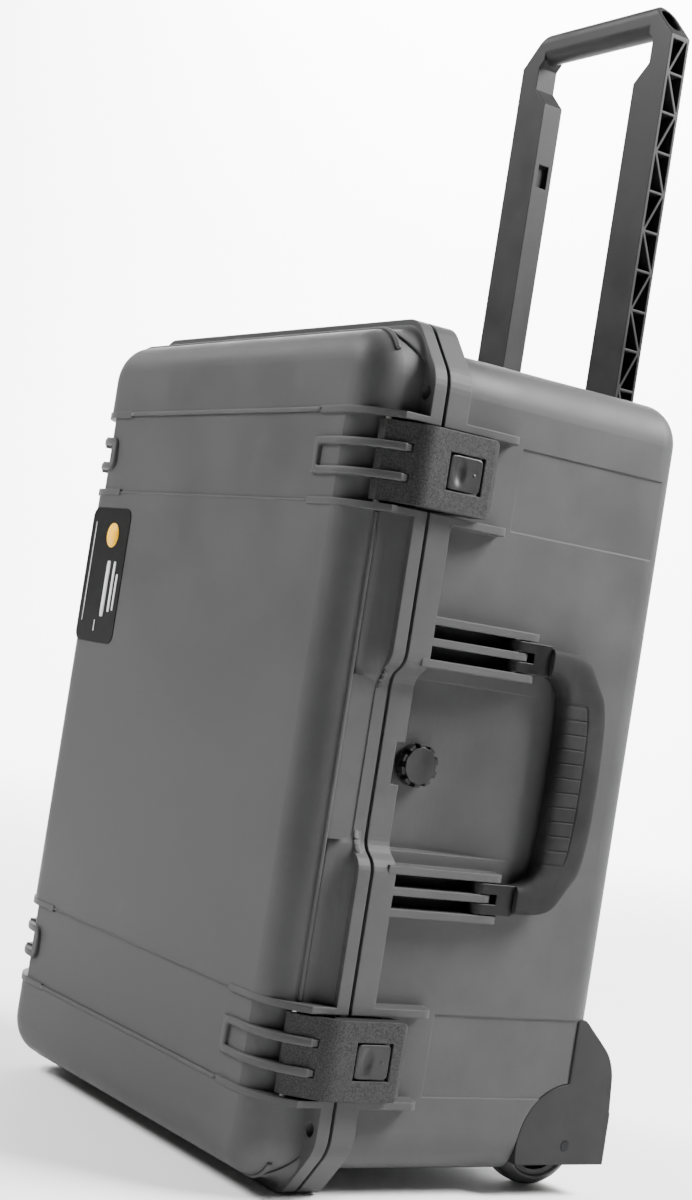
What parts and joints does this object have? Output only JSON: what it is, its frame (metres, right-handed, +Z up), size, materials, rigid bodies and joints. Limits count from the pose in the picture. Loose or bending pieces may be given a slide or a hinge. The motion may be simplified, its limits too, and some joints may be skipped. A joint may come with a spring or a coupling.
{
  "type": "wheeled hard equipment case",
  "caption": "Hard moulded equipment case standing on its wheel end, with hinged lid, push-button latches, folding side grip and a pull handle.",
  "frame": {"origin": "middle of the bounding box in X and Y, on the floor", "axes": "+Z up along the case's length, -Y towards the lid face, +Y towards the pull handle, +X towards the latches"},
  "size_m": [0.397, 0.277, 0.818],
  "materials": {
    "shell": "fine satin grain from the mould",
    "housing": "satin moulding",
    "steel": "plain stainless pins and axles",
    "black_plastic": "speckled texture",
    "button": "satin",
    "grip_rubber": "overmoulded soft grip",
    "handle_plastic": "satin",
    "hub_plastic": "satin",
    "tyre": "urethane tread",
    "gasket": "closed-cell seal",
    "label": "printed plate",
    "screw": "zinc plated"
  },
  "bodies": {
    "base": {"base_shell": "shell", "wheel_housing_left": "housing", "wheel_housing_right": "housing", "axle_left": "steel", "axle_right": "steel", "handle_track_left": "black_plastic", "handle_track_right": "black_plastic", "track_screws": "screw", "handle_catches": "button", "valve_body": "black_plastic", "valve_knob": "button", "handle_pins": "steel"},
    "lid": {"lid_shell": "shell", "lid_gasket": "gasket", "label_plate": "label", "hinge_pin_upper": "steel", "hinge_pin_lower": "steel", "latch_pin_upper": "steel", "latch_pin_lower": "steel"},
    "latch_upper": {"latch_body_upper": "black_plastic", "button_spring_upper": "steel"},
    "button_upper": {"latch_button_upper": "button"},
    "latch_lower": {"latch_body_lower": "black_plastic", "button_spring_lower": "steel"},
    "button_lower": {"latch_button_lower": "button"},
    "front_handle": {"front_handle_core": "black_plastic", "front_handle_grip": "grip_rubber"},
    "pull_handle": {"pull_handle": "handle_plastic"},
    "wheel_left": {"wheel_hub_left": "hub_plastic", "wheel_tyre_left": "tyre", "wheel_bearings_left": "steel"},
    "wheel_right": {"wheel_hub_right": "hub_plastic", "wheel_tyre_right": "tyre", "wheel_bearings_right": "steel"}
  },
  "joints": [
    {"name": "lid_hinge", "type": "hinge", "parent": "base", "child": "lid", "pos_m": [-0.193, -0.08995, 0.269], "axis": [0, 0, -1], "range_deg": [0, 100]},
    {"name": "latch_upper_hinge", "type": "hinge", "parent": "lid", "child": "latch_upper", "pos_m": [0.178, -0.12095, 0.447], "axis": [0, 0, -1], "range_deg": [0, 90]},
    {"name": "latch_lower_hinge", "type": "hinge", "parent": "lid", "child": "latch_lower", "pos_m": [0.178, -0.12095, 0.091], "axis": [0, 0, -1], "range_deg": [0, 90]},
    {"name": "button_upper_slide", "type": "slide", "parent": "latch_upper", "child": "button_upper", "axis": [-1, 0, 0], "range_m": [0, 0.003], "stiffness_N_per_m": 600, "springref_m": -0.001, "deforming": ["button_spring_upper"]},
    {"name": "button_lower_slide", "type": "slide", "parent": "latch_lower", "child": "button_lower", "axis": [-1, 0, 0], "range_m": [0, 0.003], "stiffness_N_per_m": 600, "springref_m": -0.001, "deforming": ["button_spring_lower"]},
    {"name": "front_handle_hinge", "type": "hinge", "parent": "base", "child": "front_handle", "pos_m": [0.1845, -0.00495, 0.269], "axis": [0, 0, -1], "range_deg": [0, 90]},
    {"name": "pull_handle_slide", "type": "slide", "parent": "base", "child": "pull_handle", "axis": [0, 0, 1], "range_m": [-0.276, 0]},
    {"name": "wheel_left_spin", "type": "hinge", "parent": "base", "child": "wheel_left", "pos_m": [-0.139, 0.10405, 0.0345], "axis": [1, 0, 0], "continuous": true},
    {"name": "wheel_right_spin", "type": "hinge", "parent": "base", "child": "wheel_right", "pos_m": [0.139, 0.10405, 0.0345], "axis": [1, 0, 0], "continuous": true}
  ]
}
